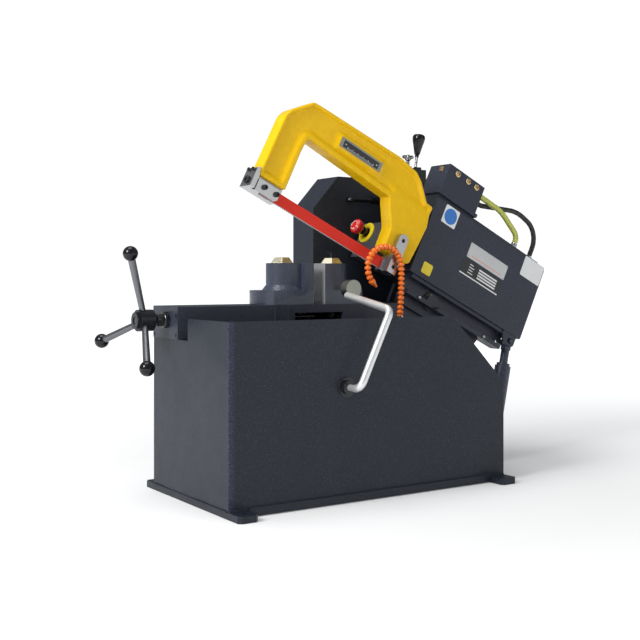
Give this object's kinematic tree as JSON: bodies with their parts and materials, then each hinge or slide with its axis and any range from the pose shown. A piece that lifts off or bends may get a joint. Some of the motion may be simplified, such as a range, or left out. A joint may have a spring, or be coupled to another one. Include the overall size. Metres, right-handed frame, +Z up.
{
  "type": "power hacksaw",
  "caption": "Floor-standing power hacksaw: sheet-metal base with chip tray, screw vise, crank-driven bow on a hinged head with a lift cylinder, and coolant hose.",
  "frame": {"origin": "on the floor, at the centre of the four anchor holes", "axes": "+Z up, +X towards the motor end (the hand wheel is at -X), -Y the side where the sawn-off pieces fall"},
  "size_m": [1.3066, 0.568, 0.9655],
  "materials": {
    "anthracite": "fine textured paint",
    "hammered": "hammered paint",
    "bow_yellow": "glossy paint",
    "blade_red": "satin paint",
    "pump_grey": "satin paint",
    "cylinder_paint": "satin paint",
    "cast_grey": "machined",
    "steel": "machined",
    "zinc": "bright zinc",
    "chrome": "polished",
    "bright_rod": "bright, scuffed",
    "pad_grey": "turned",
    "blackened": "blackened",
    "yellow_zinc": "yellow zinc",
    "bronze": "machined",
    "brass": "satin",
    "black_gloss": "gloss",
    "orange": "satin",
    "clear_yellow": "translucent",
    "black_rubber": "matt",
    "signal_yellow": "satin",
    "signal_red": "satin",
    "scale_black": "anodised"
  },
  "bodies": {
    "base": {"base_cabinet": "anthracite", "foot_frame": "anthracite", "chip_tray": "anthracite", "cross_beams": "anthracite", "coolant_pump": "pump_grey", "coolant_pipe": "zinc", "coolant_hose": "orange", "vise_bed": "anthracite", "bed_end_plate": "anthracite", "fixed_jaw": "hammered", "fixed_jaw_bolt": "yellow_zinc", "stop_socket": "blackened", "pivot_bracket": "anthracite", "pivot_shaft": "steel", "cylinder_bracket": "anthracite", "rear_cabinet": "anthracite", "pressure_pipe": "black_gloss", "valve_block": "blackened"},
    "head": {"arm_plates": "anthracite", "bushes": "bronze", "drive_housing": "anthracite", "front_cover": "anthracite", "top_cover": "anthracite", "reservoir": "anthracite", "brass_plugs": "brass", "hose_fittings": "zinc", "return_hose": "clear_yellow", "pressure_hose": "black_rubber", "control_box": "anthracite", "emergency_ring": "signal_yellow", "motor": "pump_grey", "ram_guide": "cast_grey", "drive_belt": "black_rubber"},
    "bow": {"bow_frame": "bow_yellow", "ram": "steel", "tension_block": "zinc", "clamp_plate": "zinc", "bow_screws": "blackened", "rear_holder": "zinc", "blade": "blade_red", "scale_plate": "scale_black"},
    "crank": {"crankshaft": "steel", "crank_pulley": "cast_grey"},
    "motor_drive": {"motor_pulley": "steel"},
    "emergency_stop": {"emergency_button": "signal_red"},
    "vise_slider": {"moving_jaw": "hammered", "moving_jaw_bolt": "yellow_zinc", "vise_nut": "steel"},
    "hand_wheel": {"vise_screw": "steel", "hub": "blackened", "ball_knobs": "black_gloss"},
    "stop_sleeve": {"stop_collar": "blackened"},
    "length_stop": {"stop_rod": "bright_rod", "stop_pad": "pad_grey"},
    "hand_lever": {"control_lever": "chrome", "lever_knob": "black_gloss"},
    "feed_valve": {"feed_knob": "chrome"},
    "cylinder": {"lift_barrel": "cylinder_paint"},
    "piston": {"lift_rod": "cylinder_paint"}
  },
  "joints": [
    {"name": "head_tilt", "type": "hinge", "parent": "base", "child": "head", "pos_m": [0.348, 0.115, 0.459], "axis": [0, -1, 0], "range_deg": [0, 26.2]},
    {"name": "bow_stroke", "type": "slide", "parent": "head", "child": "bow", "axis": [-0.8973, 0, 0.4415], "range_m": [0, 0.12]},
    {"name": "crank_turn", "type": "hinge", "parent": "head", "child": "crank", "pos_m": [0.5194, 0.095, 0.55855], "axis": [0, 1, 0], "range_deg": [-0.5, 180.5]},
    {"name": "motor_turn", "type": "hinge", "parent": "head", "child": "motor_drive", "pos_m": [0.63407, 0.134, 0.43861], "axis": [0, 1, 0], "range_deg": [-2, 697]},
    {"name": "emergency_press", "type": "slide", "parent": "head", "child": "emergency_stop", "axis": [0.8973, 0, -0.4415], "range_m": [0, 0.004]},
    {"name": "vise_slide", "type": "slide", "parent": "base", "child": "vise_slider", "axis": [1, 0, 0], "range_m": [-0.15, 0.033]},
    {"name": "screw_turn", "type": "hinge", "parent": "base", "child": "hand_wheel", "pos_m": [-0.42, 0.112, 0.425], "axis": [1, 0, 0], "range_deg": [-9010, 1990]},
    {"name": "stop_turn", "type": "hinge", "parent": "base", "child": "stop_sleeve", "pos_m": [-0.092, -0.18, 0.271], "axis": [0, 1, 0], "range_deg": [-58, 10]},
    {"name": "stop_slide", "type": "slide", "parent": "stop_sleeve", "child": "length_stop", "axis": [0, -1, 0], "range_m": [-0.018, 0.12]},
    {"name": "lever_swing", "type": "hinge", "parent": "base", "child": "hand_lever", "pos_m": [0.465, 0.25, 0.835], "axis": [0, 1, 0], "range_deg": [-5, 15]},
    {"name": "feed_turn", "type": "hinge", "parent": "base", "child": "feed_valve", "pos_m": [0.439, 0.25, 0.86], "axis": [0, 0, 1], "range_deg": [-135, 135]},
    {"name": "cylinder_swing", "type": "hinge", "parent": "base", "child": "cylinder", "pos_m": [0.57, 0.028, 0.076], "axis": [0, 1, 0], "range_deg": [-1, 0.1]},
    {"name": "piston_slide", "type": "slide", "parent": "cylinder", "child": "piston", "axis": [0.2104, 0, 0.9776], "range_m": [-0.001, 0.1385]}
  ],
  "couplings": [
    {"joint": "crank_turn", "follows": "bow_stroke", "rad_per_m": 26.18},
    {"joint": "motor_turn", "follows": "bow_stroke", "rad_per_m": 100.98},
    {"joint": "screw_turn", "follows": "vise_slide", "rad_per_m": 1047.2},
    {"joint": "cylinder_swing", "follows": "head_tilt", "ratio": -0.033},
    {"joint": "piston_slide", "follows": "head_tilt", "m_per_rad": 0.3005}
  ]
}
